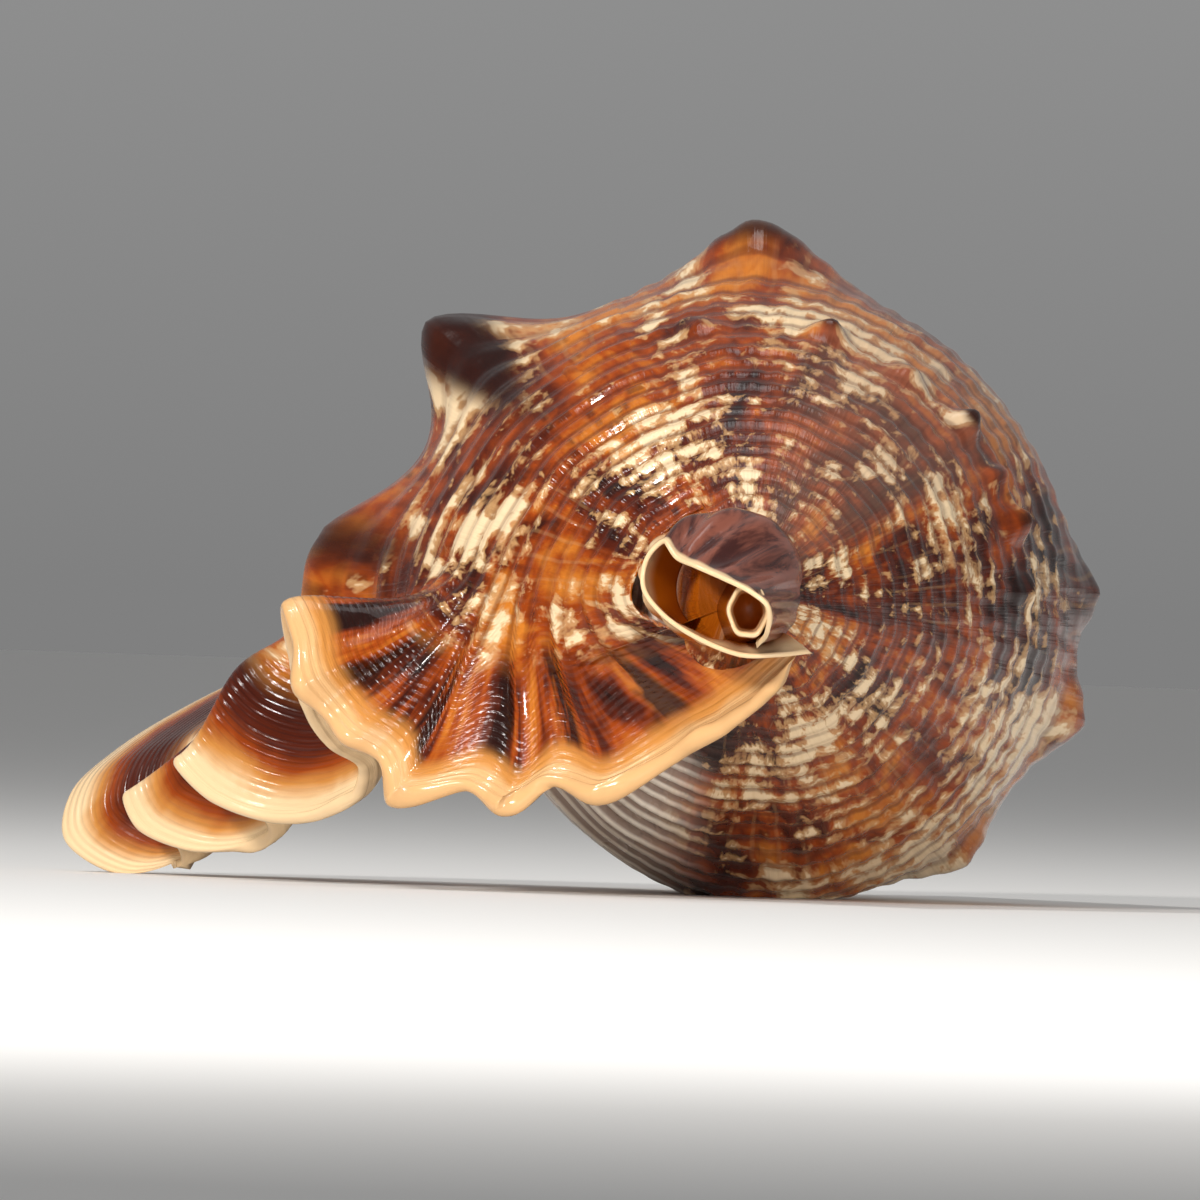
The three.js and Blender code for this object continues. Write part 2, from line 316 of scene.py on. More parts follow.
def whorl_relief(form, angle, t, number, parietal):
    """Cords and growth ripples, in millimetres, with the cords stronger on the parietal wall."""
    a = np.radians(angle)
    swell = 0.8 + 0.2 * np.sin(a * 9 + number * 0.7)
    cords = form.cord / MM * (1 + parietal) * (cord_height(number) * swell - 0.5)
    ripples = form.ripple / MM * np.sin(a * 67 + number * 0.9) * np.sin(a * 11 + number)
    return cords + ripples * ease(t * 3 - 0.6) * (1 - parietal)


def whorl_skin(form):
    """The solid whorls: columella, body whorl without its outer lip, and spire."""
    angle, y, keel, bare = whorl_lines(form)
    radius, behind = whorl(angle, y, bare)
    t = np.clip((y - CANAL_Y) / (keel - CANAL_Y), 0, 1)
    number = cord_number(angle, t, behind)
    nodule = nodules(angle, np.where(behind < 0, t, 0)) * (1 - bare)
    parietal = bell(from_angle(angle, PARIETAL_ANGLE) / 28) * (behind < 0) * ease(t * 5 - 0.8)
    relief = whorl_relief(form, angle, t, number, parietal) + nodule
    relief = relief * ease(t * 8) * ease((APEX_Y - y) / 12)
    row = np.arange(len(y))[:, None]
    closed = (row == 0) | (row == len(y) - 1)
    radius = np.where(closed, 0, radius + relief)
    marks = {
        "cord": number,
        "age": grown(angle),
        "rim": 60.0,
        "along": 0.0,
        "inner": (1 - ease(t * 14 - 0.3)) * bell(from_angle(angle, 180) / 70),
        "knob": knobs(angle, y - keel) * (1 - bare) / 5.2 + nodule * 0.5,
        "bare": np.maximum(bare * (1 - ease(behind / 0.2)), parietal),
        "hood": 0.0,
    }
    return skin_of("whorls", place(angle, radius, y), marks)


def root_line(v):
    """Growth line on which a place of the margin grew: 0 at the canal, 1 keel, 2 suture."""
    flange = FLANGE_END / (len(MARGIN) - 1)
    front = mix(0.1, 0.52, np.clip(v / flange, 0, 1) ** 0.8)
    back = mix(0.52, 2.0, np.clip((v - flange) / (1 - flange), 0, 1) ** 1.15)
    return np.where(v < flange, front, back)


def wall_point(line, deg):
    """A place on the last whorl's outer wall, with its cord number."""
    u = grown(deg)
    suture = KEEL_LIP_Y + KEEL_TURN_Y * (1 - u + SUTURE_AT)
    y = np.where(line < 1, mix(CANAL_Y, keel_y(u), line), mix(keel_y(u), suture, line - 1))
    climb = LIP_CLIMB * ease((deg - LIFT_FROM) / (LIP_ANGLE - LIFT_FROM))
    radius, behind = whorl(deg, y, 0.0)
    number = cord_number(deg, np.clip(line, 0, 1), behind)
    return place(deg, radius, y + climb * np.maximum(0, line - 1)), number


# The lip's surface: the angle where it leaves the wall, and the share of its width up to there
LEAVE_ANGLE = 172.0
ON_WALL = 0.5

# The lip sinks just outside its last knob: its place along the margin, depth and direction
HOLLOW_AT = 22.0
HOLLOW = 3.2
HOLLOW_WAY = np.array([0.75, 0.0, -0.66])


def wall_angle(w):
    return mix(LIFT_FROM - 2, LEAVE_ANGLE, np.clip(w / ON_WALL, 0, 1))


def past_wall(w):
    """Share of the lip's free part: 0 where it leaves the wall, 1 at the margin."""
    return np.clip((w - ON_WALL) / (1 - ON_WALL), 0, 1)


def hollow(v, t):
    at = v * (len(MARGIN) - 1)
    return HOLLOW * bell((t - 0.27) / 0.17) * bell((at - HOLLOW_AT) / 4)


# Ribs of the flange: where each meets the margin, by margin point, and its share of the height
RIBS = [(1.6, 0.5), (3.0, 1.0), (5.0, 0.9), (7.0, 1.1), (8.8, 0.6), (10.2, 1.0)]
RIB_WIDE = 0.5
LOBE = 0.9


def ribs(v):
    at = v * (len(MARGIN) - 1)
    total = 0.0 * at
    for where, high in RIBS:
        total = total + high * bell((at - where) / RIB_WIDE)
    return total


def lip_surface(v, w):
    """The outer lip's upper face before relief: along the wall, then out to the margin."""
    line = root_line(v)
    wall, number = wall_point(line, wall_angle(w))
    start, leaving = wall_point(line, LEAVE_ANGLE + 0 * w)
    before, _ = wall_point(line, LEAVE_ANGLE - 3 + 0 * w)
    end = through(MARGIN, v)
    reach = np.linalg.norm(end - start, axis=-1, keepdims=True)
    outward = np.stack([-0.55 + 0 * v, mix(-0.4, 0.5, v), mix(-0.45, -0.3, v)], -1)
    near = start + unit(start - before) * reach * 0.38
    far = end - outward * reach * 0.3
    free = past_wall(w)
    t = free[..., None]
    out = bezier(start, near, far, end, t)
    out = out + hollow(v, free)[..., None] * HOLLOW_WAY
    out = out + unit(end - start) * LOBE * (ribs(v)[..., None] - 0.4) * t ** 4
    on = w < ON_WALL
    return np.where(on[..., None], wall, out), np.where(on, number, leaving)


def wrap(outer, inner, outward, rim_steps):
    """Points of a closed sheet: over the outer face, round the rim and back under the inner one."""
    normal = outer[-1] - inner[-1]
    middle = (outer[-1] + inner[-1]) / 2
    rim = []
    for k in range(1, rim_steps):
        a = math.pi * k / rim_steps
        half = np.linalg.norm(normal, axis=-1, keepdims=True) / 2
        rim.append(middle + normal / 2 * math.cos(a) + outward * half * math.sin(a))
    return np.concatenate([outer, np.array(rim), inner[::-1], outer[:1]])


def sheet_skin(name, surface, v, w, thickness, relief, marks_of, flip):
    """A closed sheet grown from a surface, with relief on its outer face and a round rim."""
    grid_v, grid_w = np.meshgrid(v, w)
    base, number = surface(grid_v, grid_w)
    along = np.gradient(base, v, axis=1, edge_order=2)
    across = np.gradient(base, w, axis=0, edge_order=2)
    normal = unit(np.cross(along, across)) * flip
    closing = np.minimum(ease((grid_v - v[0]) / 0.012), ease((v[-1] - grid_v) / 0.012))[..., None]
    height = relief(grid_v, grid_w, number)[..., None]
    outer = base + normal * height * closing
    inner = base - normal * (thickness(grid_w)[..., None] - height * 0.35) * closing
    rim_steps = 7
    points = wrap(outer, inner, unit(across[-1]), rim_steps)
    to_rim = np.linalg.norm(np.diff(base, axis=0), axis=-1)
    to_rim = np.vstack([np.cumsum(to_rim[::-1], axis=0)[::-1], np.zeros((1, len(v)))])
    marks = {}
    edge = rim_steps - 1
    for mark, values in marks_of(grid_v, grid_w, number, to_rim).items():
        full = np.broadcast_to(values, grid_v.shape)
        marks[mark] = np.vstack([full, np.repeat(full[-1:], edge, 0), full[::-1], full[:1]])
    count = len(w)
    inside = np.zeros(len(points))
    inside[count:count + edge] = np.linspace(0, 1, edge)
    inside[count + edge:-1] = 1
    marks["inner"] = np.broadcast_to(inside[:, None], points.shape[:2])
    return skin_of(name, np.swapaxes(points, 0, 1), {k: np.swapaxes(m, 0, 1) for k, m in marks.items()})


def lip_skin(form):
    on_wall = np.linspace(0, ON_WALL, int(form.lip_rows * 0.45), endpoint=False)
    out = np.linspace(ON_WALL, 1, form.lip_rows - len(on_wall))
    w = np.concatenate([[0, 0.012], on_wall[1:], out])
    v = np.linspace(0, 1, form.lip_columns)

    def surface(grid_v, grid_w):
        base, number = lip_surface(grid_v, grid_w)
        axis = place(0.0, 0.0, base[..., 1])
        sunk = np.where(grid_w <= 0, 0.012, -0.0015)[..., None]
        return base + (axis - base) * sunk, number

    def relief(grid_v, grid_w, number):
        t = past_wall(grid_w)
        cords = form.cord / MM * (cord_height(number) - 0.5) * (1 - ease(t * 1.1 - 0.05) * 0.35)
        return cords + form.rib / MM * ribs(grid_v) * ease(t * 2.2) * (0.7 + 0.7 * t ** 3)

    def marks_of(grid_v, grid_w, number, to_rim):
        t = past_wall(grid_w)
        deg = wall_angle(grid_w)
        knob = knobs(deg, (root_line(grid_v) - 1) * 12) / 8
        return {
            "cord": number, "rim": to_rim, "knob": knob * (1 - ease(t * 4)),
            "along": grid_v * (len(MARGIN) - 1), "bare": 0.0, "hood": 0.0,
            "age": grown(deg) + t * 0.2,
        }

    return sheet_skin("outer_lip", surface, v, w, lambda s: mix(WALL, WALL_EDGE, s), relief, marks_of, 1)


def collar_surface(v, w):
    deg = COLLAR_FROM - COLLAR_TURN * v
    top = ease(0.5 + 0.5 * np.cos(np.radians(deg - 130))) ** 1.5
    start = place(deg, mix(4.6, 6.8, top), CANAL_Y + 2.5)
    near = place(deg, mix(3.6, 9.2, top), CANAL_Y - 1)
    end = through(COLLAR, v)
    far = mix(end + (0, 2.4, 0), near, 0.25)
    return bezier(start, near, far, end, w[..., None]), deg + 0 * w


def collar_skin(form):
    v = np.linspace(0, 1, form.lip_columns // 2)
    w = np.linspace(0, 1, form.lip_rows // 2)

    def relief(grid_v, grid_w, number):
        return 0.2 * np.cos(number / 3.8) * ease(grid_w * 2) * ease((1 - grid_w) * 5)

    def marks_of(grid_v, grid_w, number, to_rim):
        hood = ease((grid_v - 0.46) / 0.06)
        return {"cord": number / 9, "rim": to_rim, "knob": 0.0, "along": 0.0, "bare": 0.0,
                "hood": mix(0.5, 1.0, hood), "age": 1.0 + 0 * grid_v}

    return sheet_skin("canal_collar", collar_surface, v, w,
                      lambda s: mix(COLLAR_WALL, 0.4, s), relief, marks_of, -1)


def tube_skin(form):
    """The small open tube at the middle of the collar."""
    profile = [(0, 1.4), (1.5, 1), (1.02, -2), (0.97, -6), (0.96, -9.1), (0.9, -9.35), (0.8, -9.2),
               (0.74, -7), (0.62, -4), (0, -3.8)]
    around = 48
    turn = np.linspace(0, 2 * math.pi, around + 1)[None, :]
    size = np.array([p[0] for p in profile])[:, None]
    along = np.array([p[1] for p in profile])[:, None]
    facet = 1 + 0.035 * np.cos(6 * turn + 0.5)
    x = place(0.0, 0.0, CANAL_Y)[0] + 1.75 * size * facet * np.cos(turn)
    z = AXIS_Z - 0.9 + 2.25 * size * facet * np.sin(turn)
    y = CANAL_Y + along + 0 * turn
    marks = {"cord": 0.0, "rim": np.abs(along + 9.3) * 0.8, "inner": 1.0, "knob": 0.0, "along": 0.0,
             "bare": 0.0, "hood": 0.5, "age": 1.0}
    return skin_of("canal_tube", np.stack([x, y, z], -1), {k: m + 0 * x for k, m in marks.items()})


# ---------------------------------------------------------------- materials


def colour(hex_text):
    """Linear colour from the usual six hexadecimal digits."""
    parts = [int(hex_text[i:i + 2], 16) / 255 for i in (0, 2, 4)]
    return tuple(c / 12.92 if c <= 0.04045 else ((c + 0.055) / 1.055) ** 2.4 for c in parts) + (1.0,)


class Value:
    """A socket whose operators add Math nodes."""

    def __init__(self, graph, socket):
        self.graph = graph
        self.socket = socket

    def maths(self, operation, *inputs):
        return self.graph.node("ShaderNodeMath", {"operation": operation}, list(inputs)).out()

    def __add__(self, other):
        return self.maths("ADD", self, other)

    __radd__ = __add__

    def __sub__(self, other):
        return self.maths("SUBTRACT", self, other)

    def __rsub__(self, other):
        return self.maths("SUBTRACT", other, self)

    def __mul__(self, other):
        return self.maths("MULTIPLY", self, other)

    __rmul__ = __mul__

    def __truediv__(self, other):
        return self.maths("DIVIDE", self, other)

    def __rtruediv__(self, other):
        return self.maths("DIVIDE", other, self)

    def floor(self):
        return self.maths("FLOOR", self)

    def cosine(self):
        return self.maths("COSINE", self)

    def between(self, low, high):
        """Smooth step from 0 at low to 1 at high."""
        settings = {"interpolation_type": "SMOOTHSTEP"}
        inputs = {"Value": self, "From Min": low, "From Max": high}
        return self.graph.node("ShaderNodeMapRange", settings, inputs).out()


class Made:
    """A node that has been added, and its outputs as values."""

    def __init__(self, graph, node):
        self.graph = graph
        self.node = node

    def out(self, name=0):
        return Value(self.graph, self.node.outputs[name])


class Graph:
    """A material's nodes."""

    def __init__(self, name):
        self.material = bpy.data.materials.new(name)
        self.material.use_nodes = True
        self.tree = self.material.node_tree
        self.tree.nodes.clear()

    def node(self, kind, settings=None, inputs=None):
        node = self.tree.nodes.new(kind)
        for key, value in (settings or {}).items():
            if key == "stops":
                self.set_stops(node.color_ramp, value)
            else:
                setattr(node, key, value)
        pairs = enumerate(inputs) if isinstance(inputs, list) else (inputs or {}).items()
        for key, value in pairs:
            if isinstance(value, Value):
                self.tree.links.new(value.socket, node.inputs[key])
            elif value is not None:
                node.inputs[key].default_value = value
        return Made(self, node)

    @staticmethod
    def set_stops(ramp, stops):
        while len(ramp.elements) < len(stops):
            ramp.elements.new(0.5)
        for element, (position, tint) in zip(ramp.elements, stops):
            element.position = position
            element.color = tint

    def attribute(self, name):
        return self.node("ShaderNodeAttribute", {"attribute_name": name}).out("Fac")

    def blend(self, share, a, b, mode="MIX"):
        node = self.node("ShaderNodeMix", {"data_type": "RGBA", "blend_type": mode, "clamp_factor": True})
        for index, value in ((0, share), (6, a), (7, b)):
            if isinstance(value, Value):
                self.tree.links.new(value.socket, node.node.inputs[index])
            else:
                node.node.inputs[index].default_value = value
        return Value(self, node.node.outputs[2])

    def ramp(self, share, stops):
        return self.node("ShaderNodeValToRGB", {"stops": stops}, [share]).out("Color")

    def vector(self, x, y, z):
        return self.node("ShaderNodeCombineXYZ", None, [x, y, z]).out()

    def noise(self, vector, scale, detail=3.0, rough=0.55, warp=0.0):
        inputs = {
            "Vector": vector, "Scale": scale, "Detail": detail, "Roughness": rough, "Distortion": warp}
        return self.node("ShaderNodeTexNoise", {"noise_dimensions": "3D"}, inputs).out("Fac")


MARKS = ("cord", "rim", "inner", "knob", "along", "bare", "hood", "age")


class ShellMarks:
    """What the shell's material reads at a point: its place, its marks and the tints."""

    def __init__(self, graph, tones):
        self.graph = graph
        self.at = graph.node("ShaderNodeTexCoord").out("Object")
        for mark in MARKS:
            setattr(self, mark, graph.attribute(mark))
        self.tint = {name: tuple(getattr(tones, name)) + (1.0,) for name in TONES}
        self.number = self.cord.floor()
        self.ridge = 0.5 - 0.5 * (self.cord * (2 * math.pi)).cosine()

    def flow(self, round_it, across, layer):
        """Growth coordinates: along the whorl, across the cords, and a layer of its own."""
        return self.graph.vector(self.age * round_it, self.cord * across, layer)

    def per_cord(self, round_it, step, layer):
        """Growth coordinates that jump from cord to cord."""
        return self.graph.vector(self.age * round_it, self.number * step, layer)


def ground_tone(g, on, dark_band):
    """Flames from dark chestnut to amber, with dark dashes along the cords."""
    tint = on.tint
    flame = g.noise(on.flow(13, 0.15, 1.5), 1, 4, 0.6, 0.5)
    broken = g.noise(on.flow(60, 0.9, 5.0), 1, 3, 0.6, 0.4)
    ground = g.ramp(flame * 0.8 + broken * 0.2 - dark_band * 0.03, [
        (0.38, tint["dark"]), (0.45, tint["chestnut"]), (0.53, tint["russet"]), (0.62, tint["amber"])])
    dash = g.noise(on.per_cord(75, 7.31, 4.0), 1, 2, 0.5)
    dashes = dash.between(0.48, 0.62) * g.noise(on.flow(9, 0.1, 7), 1, 2).between(0.44, 0.56)
    return g.blend(dashes * on.ridge.between(0.1, 0.6) * on.rim.between(12, 18) * 0.6, ground, tint["dark"])


def blotched_tone(g, on, ground, dark_band):
    """Pale blotches that gather into patches and break up from cord to cord."""
    blotch = g.noise(on.flow(17, 0.27, 11), 1, 5, 0.66, 0.9)
    patch = g.noise(on.flow(9, 0.12, 17), 1, 2, 0.5)
    pale_dash = g.noise(on.per_cord(60, 5.17, 9.0), 1, 1)
    speck = g.noise(on.flow(58, 0.75, 37), 1, 3, 0.65, 0.5)
    share = blotch * 0.5 + speck * 0.4 + patch * 0.45 + pale_dash * 0.2 + on.ridge * 0.04 - dark_band * 0.02
    pale_side = on.cord.between(17, 22) * on.age.between(0.16, 0.24) * (1 - on.age.between(0.37, 0.43))
    share = share + pale_side * 0.07
    open_place = on.rim.between(8, 12) * (1 - on.knob.between(0.5, 0.8))
    body = g.blend(share.between(0.80, 0.85) * open_place * 0.65, ground, on.tint["tan"])
    body = g.blend(share.between(0.855, 0.895) * open_place, body, on.tint["cream"])
    crossing = (on.age * (2 * math.pi * 64) + g.noise(on.at, 90, 2) * 9).cosine().between(0.72, 1.0)
    crossing = crossing * g.noise(on.flow(7, 0.09, 29), 1, 2).between(0.5, 0.6) * open_place
    return g.blend(crossing * 0.16, body, on.tint["tan"])


def whorl_tone(g, on):
    """The whorls: ground, blotches, a painted sky reflection over a band on the upper right, painted shade
    in the grooves, darker knobs, and the glazed inner whorl.
    """
    dark_band = on.age.between(0.35, 0.43) * (1 - on.age.between(0.47, 0.54))
    body = blotched_tone(g, on, ground_tone(g, on, dark_band), dark_band)
    # Painted reflection: a grey-brown sheen of sky painted over a band of the body whorl on its upper right
    haze = on.age.between(0.5, 0.56) * (1 - on.age.between(0.63, 0.7))
    body = g.blend(haze * 0.35, body, on.tint["haze"])
    # Painted shade: the grooves between the cords darkened towards chestnut, more in some patches than
    # others
    groove_shade_patches = g.noise(on.flow(6, 0.1, 43), 1, 2).between(0.4, 0.6)
    body = g.blend((1 - on.ridge).between(0.7, 1.0) * (0.2 + groove_shade_patches * 0.35), body, on.tint["chestnut"])
    body = g.blend(on.knob.between(0.38, 0.8) * 0.9, body, on.tint["dark"])
    glaze = g.blend(on.ridge.between(0.35, 0.8), on.tint["glaze_low"], on.tint["glaze_high"])
    return g.blend(on.bare.between(0.25, 0.85), body, glaze)


def flange_tone(g, on):
    """Fox-red with dark stripes between the ribs."""
    tint = on.tint
    streak = g.noise(g.vector(on.along * 1.05, on.rim * 0.045, 2.5), 1, 4, 0.62, 0.3)
    fox = g.ramp(streak, [
        (0.40, tint["dark"]), (0.47, tint["chestnut"]), (0.54, tint["russet"]), (0.66, tint["amber"])])
    fox = g.blend(1 - on.rim.between(2.2, 4.2), fox, tint["honey"])
    stripe = (on.along * (2 * math.pi / 1.9)).cosine().between(0.2, 0.75) * on.rim.between(2.6, 4.0)
    stripe = stripe * (1 - on.along.between(9.6, 11.2))
    patchy = g.noise(g.vector(on.along * 1.7, on.rim * 0.12, 8.5), 1, 3, 0.6, 0.4)
    return g.blend(stripe * patchy.between(0.38, 0.52) * 0.92, fox, tint["dark"])


def petal_tone(g, on):
    """Brown over the wing's ridge, then orange, then cream, with growth lines."""
    tint = on.tint
    drift = g.noise(on.at, 110, 3, 0.6, 0.4) * 5
    petal = g.ramp((on.rim + drift) / 20, [
        (0.2, tint["shell_white"]), (0.29, tint["honey"]), (0.36, tint["russet"]),
        (0.44, tint["chestnut"]), (0.72, tint["dark"])])
    lines = (on.rim * (2 * math.pi / 0.55)).cosine().between(0.3, 1.0) * on.rim.between(3, 6)
    return g.blend(lines * 0.3, petal, tint["dark"])


def lip_tone(g, on, body):
    """The outer lip over the whorls: flange and wing, pale margins, and orange inside faces."""
    wing = on.along.between(12.0, 13.5)
    lip = g.blend(wing, flange_tone(g, on), petal_tone(g, on))
    skin = g.blend((1 - on.rim.between(9, 13)) * on.along.between(0.01, 0.02), body, lip)
    edge = on.rim + g.noise(on.at, 220, 2, 0.5) * 1.6
    margin_tone = g.blend(wing, on.tint["edge"], on.tint["shell_white"])
    on_margin = (1 - edge.between(1.9, 3.0)) * (1 - on.hood.between(0.2, 0.3))
    skin = g.blend(on_margin, skin, margin_tone)
    lining = g.blend(on.rim.between(1.5, 16), margin_tone, on.tint["lining"])
    return g.blend(on.inner.between(0.3, 0.7), skin, lining)


def canal_tone(g, on):
    """The canal: mauve hood, cream curled lip, amber inside."""
    tint = on.tint
    smoke = g.noise(g.vector(on.cord * 0.5, on.rim * 0.13, 3.0), 1, 4, 0.6, 0.7)
    hood_skin = g.blend(smoke.between(0.42, 0.62), tint["mauve"], tint["hood_dark"])
    hood_skin = g.blend(1 - on.rim.between(0.3, 0.9), hood_skin, tint["shell_white"])
    curl = g.blend(on.rim.between(1.0, 3.5), tint["shell_white"], tint["lining"])
    canal = g.blend(on.hood.between(0.7, 0.9), curl, hood_skin)
    deep = g.blend(on.rim.between(1.2, 4.5), tint["shell_white"], tint["lining"])
    return g.blend(on.inner.between(0.3, 0.7), canal, deep)


def fine_relief(g, on):
    """Growth wrinkles, fine cords, and growth lines near the margin, as a bump's normal."""
    wrinkle = g.noise(on.flow(260, 0.25, 23), 1, 2, 0.5)
    fine = (on.cord * (4 * math.pi)).cosine() * 0.5
    margin = (on.rim * (2 * math.pi / 0.7)).cosine() * (1 - on.rim.between(8, 20))
    plain = 1 - on.hood.between(0.2, 0.3)
    height = wrinkle * 0.9 + (fine * 0.25 + margin * 0.22) * plain + g.noise(on.at, 1500, 1) * 0.15
    return g.node("ShaderNodeBump", None, {
        "Strength": 0.75, "Distance": 0.0002, "Height": height}).out("Normal")


def shell_material(tones):
    g = Graph("shell_gloss")
    on = ShellMarks(g, tones)
    skin = lip_tone(g, on, whorl_tone(g, on))
    skin = g.blend(on.hood.between(0.2, 0.3), skin, canal_tone(g, on))
    rough = 0.13 + g.noise(on.at, 500, 2) * 0.12 + on.bare * 0.1
    shader = g.node("ShaderNodeBsdfPrincipled", None, {
        "Base Color": skin, "Roughness": rough, "Normal": fine_relief(g, on),
        "IOR": 1.45, "Specular IOR Level": 0.3, "Coat Weight": 0.22, "Coat Roughness": 0.04,
    }).out("BSDF")
    g.node("ShaderNodeOutputMaterial", None, {"Surface": shader})
    return g.material


def plain_material(name, tint, roughness):
    g = Graph(name)
    shader = g.node("ShaderNodeBsdfPrincipled", None, {"Base Color": tint, "Roughness": roughness})
    g.node("ShaderNodeOutputMaterial", None, {"Surface": shader.out("BSDF")})
    return g.material


# ---------------------------------------------------------------- settings


class ShellForm(bpy.types.PropertyGroup):
    """Fineness and relief of the shell."""

    columns: bpy.props.IntProperty(
        name="Columns", description="Points round the whorls", default=360, min=24)
    rows: bpy.props.IntProperty(
        name="Rows", description="Points from the canal to the keel", default=165, min=16)
    lip_columns: bpy.props.IntProperty(
        name="Lip columns", description="Points along the lip's margin", default=420, min=38)
    lip_rows: bpy.props.IntProperty(
        name="Lip rows", description="Points across the lip", default=90, min=16)
    cord: bpy.props.FloatProperty(
        name="Cords", description="Height of the spiral cords", default=0.34 * MM, unit="LENGTH")
    ripple: bpy.props.FloatProperty(
        name="Ripples", description="Height of the growth ripples", default=0.11 * MM, unit="LENGTH")
    rib: bpy.props.FloatProperty(
        name="Ribs", description="Height of the flange's ribs", default=1.1 * MM, unit="LENGTH")


TONES = (
    "dark", "chestnut", "russet", "amber", "honey", "tan", "cream", "edge", "shell_white", "haze",
    "lining", "mauve", "hood_dark", "glaze_low", "glaze_high",
)


def tone(name, description, hex_text):
    """A colour property, given as six hexadecimal digits."""
    return bpy.props.FloatVectorProperty(
        name=name, description=description, subtype="COLOR", size=3, min=0, max=1,
        default=colour(hex_text)[:3])


class ShellTones(bpy.types.PropertyGroup):
    """Colours of the shell."""

    dark: tone("Dark", "Knobs and stripes", "1f0602")
    chestnut: tone("Chestnut", "Darker ground", "501803")
    russet: tone("Russet", "Lighter ground", "8f3a06")
    amber: tone("Amber", "Palest ground", "bf7022")
    honey: tone("Honey", "Inside the pale margins", "bf7f3c")
    tan: tone("Tan", "Faint blotches", "c99c68")
    cream: tone("Cream", "Blotches", "e2c7a0")
    edge: tone("Edge", "Margin of the lip", "d3a570")
    shell_white: tone("Wing edge", "Margin of the wing", "e2c296")
    haze: tone("Haze", "Grey-brown glaze", "8a6656")
    # Painted reflection: the grey-brown sky sheen painted over part of the body whorl, not a colour of the
    # shell
    lining: tone("Lining", "Inside faces", "a9560c")
    mauve: tone("Mauve", "Canal hood", "7e4839")
    hood_dark: tone("Hood streaks", "Hood streaks", "3c1a16")
    glaze_low: tone("Glaze", "Glaze in the grooves", "b09a8c")
    glaze_high: tone("Glaze ridges", "Glaze on cords", "fff4e4")


class ShellStage(bpy.types.PropertyGroup):
    """Floor and camera."""

    frame: bpy.props.FloatProperty(
        name="Frame", description="Width of the view at the shell", default=98.4 * MM, unit="LENGTH")
    distance: bpy.props.FloatProperty(
        name="Distance", description="Camera's distance", default=2.5, unit="LENGTH")
    floor: bpy.props.FloatVectorProperty(
        name="Floor", description="Floor colour", subtype="COLOR", default=(0.8, 0.795, 0.785))


# ---------------------------------------------------------------- operators


class SHELL_OT_whorls(bpy.types.Operator):
    """Grow the columella, the body whorl and the spire"""

    bl_idname = "shell.whorls"
    bl_label = "Grow whorls"

    def execute(self, context):
        keep(whorl_skin(context.scene.shell_form), shared_gloss(context))
        return {"FINISHED"}


class SHELL_OT_lip(bpy.types.Operator):
    """Grow the outer lip with its flange and wing"""

    bl_idname = "shell.lip"
    bl_label = "Grow outer lip"

    def execute(self, context):
        keep(lip_skin(context.scene.shell_form), shared_gloss(context))
        return {"FINISHED"}


class SHELL_OT_canal(bpy.types.Operator):
    """Grow the canal's collar and tube"""

    bl_idname = "shell.canal"
    bl_label = "Grow canal"

    def execute(self, context):
        keep(collar_skin(context.scene.shell_form), shared_gloss(context))
        keep(tube_skin(context.scene.shell_form), shared_gloss(context))
        return {"FINISHED"}


class SHELL_OT_stage(bpy.types.Operator):
    """Lay the floor, hang the lights and place the camera"""

    bl_idname = "shell.stage"
    bl_label = "Set stage"

    def execute(self, context):
        make_floor(context.scene.shell_stage)
        make_lights()
        make_world()
        make_camera(context.scene.shell_stage)
        return {"FINISHED"}


def shared_gloss(context):
    return bpy.data.materials.get("shell_gloss") or shell_material(context.scene.shell_tones)


def make_floor(stage):
    nothing_selected()
    bpy.ops.mesh.primitive_circle_add(vertices=96, radius=8, fill_type="NGON")
    floor = bpy.context.active_object
    floor.name = "floor"
    floor.data.materials.append(plain_material("floor_matt", tuple(stage.floor) + (1,), 0.6))


def area_light(name, place_m, aim, size, power, tint=(1, 1, 1)):
    light = bpy.data.lights.new(name, "AREA")
    light.shape = "RECTANGLE"
    light.size, light.size_y = size
    light.energy = power
    light.color = tint
    lamp = bpy.data.objects.new(name, light)
    bpy.context.scene.collection.objects.link(lamp)
    lamp.location = place_m
    lamp.rotation_mode = "QUATERNION"
    lamp.rotation_quaternion = (Vector(aim) - Vector(place_m)).to_track_quat("-Z", "Y")


def make_lights():
    middle = (0, 0, 0.028)
    area_light("key", (-0.45, -0.9, 0.40), middle, (0.11, 0.11), 8.8, (1, 0.97, 0.93))
    area_light("spark", (-0.45, -0.15, 0.8), middle, (0.07, 0.07), 3.2, (1, 0.98, 0.95))
    area_light("top", (0.1, 0.1, 0.9), middle, (0.4, 0.25), 1)
    area_light("low", (0.4, -0.9, 0.05), (0.02, 0, 0.01), (0.3, 0.08), 4)
    area_light("side", (0.7, -0.9, 0.25), middle, (0.25, 0.25), 0.8)


def grey(level):
    return (level, level, level, 1)


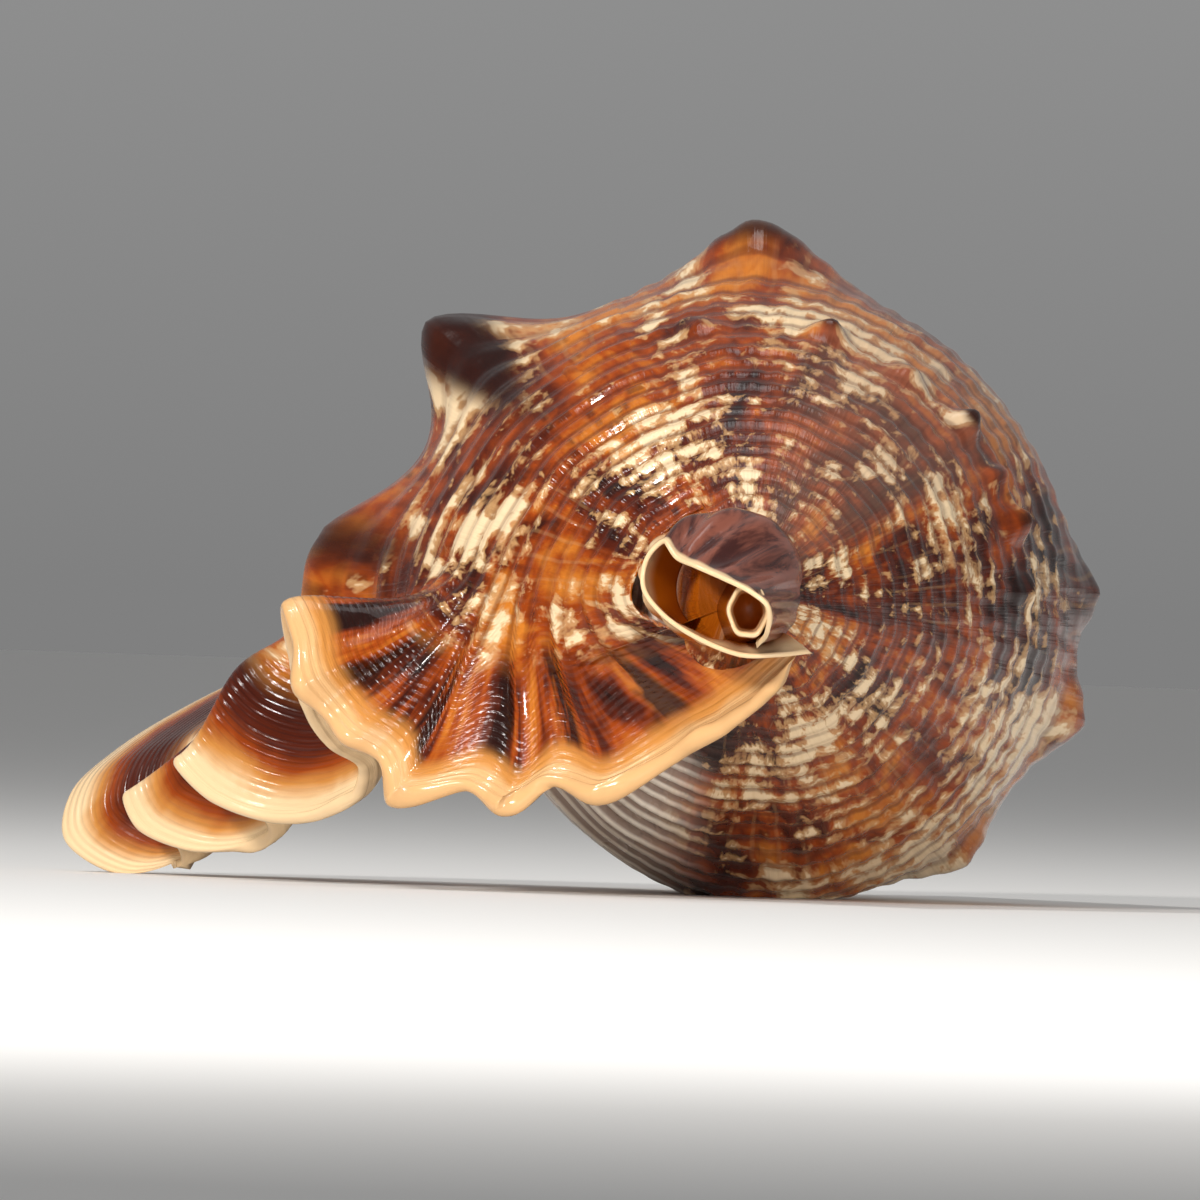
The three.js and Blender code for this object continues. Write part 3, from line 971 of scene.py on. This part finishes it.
def make_world():
    """A plain room: the floor's tone at the horizon, paler overhead, dimmer behind the viewer."""
    world = bpy.data.worlds.new("studio")
    world.use_nodes = True
    nodes, links = world.node_tree.nodes, world.node_tree.links
    along = nodes.new("ShaderNodeTexCoord").outputs["Generated"]
    height = nodes.new("ShaderNodeSeparateXYZ")
    room = nodes.new("ShaderNodeValToRGB")
    far_wall = nodes.new("ShaderNodeValToRGB")
    Graph.set_stops(room.color_ramp, [(0.0, grey(0.216)), (0.03, grey(0.3)), (0.6, grey(0.36))])
    Graph.set_stops(far_wall.color_ramp, [(0.3, grey(0.7)), (0.95, grey(1))])
    links.new(along, height.inputs[0])
    links.new(height.outputs["Z"], room.inputs[0])
    links.new(height.outputs["Y"], far_wall.inputs[0])
    links.new(room.outputs[0], nodes["Background"].inputs["Color"])
    links.new(far_wall.outputs[0], nodes["Background"].inputs["Strength"])
    scene = bpy.context.scene
    scene.world = world
    scene.view_settings.view_transform = "Standard"
    scene.view_settings.look = "None"


def make_camera(stage):
    """Looks along the coiling axis from the canal's end, leaning as far as the shell does."""
    aim = settle(np.array([-11.89, 0.0, AXIS_Z]))
    camera = bpy.data.cameras.new("camera")
    camera.sensor_width = 36
    camera.lens = 36 * stage.distance / stage.frame
    camera.clip_end = 50
    holder = bpy.data.objects.new("camera", camera)
    bpy.context.scene.collection.objects.link(holder)
    lean = Matrix.Rotation(math.radians(-ROLL), 4, "Y")
    level = Matrix.Rotation(math.radians(90), 4, "X")
    holder.matrix_world = Matrix.Translation((aim[0], aim[1] - stage.distance, aim[2])) @ lean @ level
    bpy.context.scene.camera = holder


class SHELL_PT_panel(bpy.types.Panel):
    """Lists the pieces of the shell"""

    bl_idname = "SHELL_PT_panel"
    bl_label = "Spider conch shell"
    bl_space_type = "VIEW_3D"
    bl_region_type = "UI"
    bl_category = "Shell"

    def draw(self, context):
        for operator in (SHELL_OT_whorls, SHELL_OT_lip, SHELL_OT_canal, SHELL_OT_stage):
            self.layout.operator(operator.bl_idname)


CLASSES = (ShellForm, ShellTones, ShellStage, SHELL_OT_whorls, SHELL_OT_lip, SHELL_OT_canal,
           SHELL_OT_stage, SHELL_PT_panel)


def register():
    for each in CLASSES:
        bpy.utils.register_class(each)
    bpy.types.Scene.shell_form = bpy.props.PointerProperty(type=ShellForm)
    bpy.types.Scene.shell_tones = bpy.props.PointerProperty(type=ShellTones)
    bpy.types.Scene.shell_stage = bpy.props.PointerProperty(type=ShellStage)


def unregister():
    del bpy.types.Scene.shell_stage
    del bpy.types.Scene.shell_tones
    del bpy.types.Scene.shell_form
    for each in reversed(CLASSES):
        bpy.utils.unregister_class(each)


def main():
    register()
    bpy.ops.shell.whorls()
    bpy.ops.shell.lip()
    bpy.ops.shell.canal()
    bpy.ops.shell.stage()


if __name__ == "__main__":
    main()
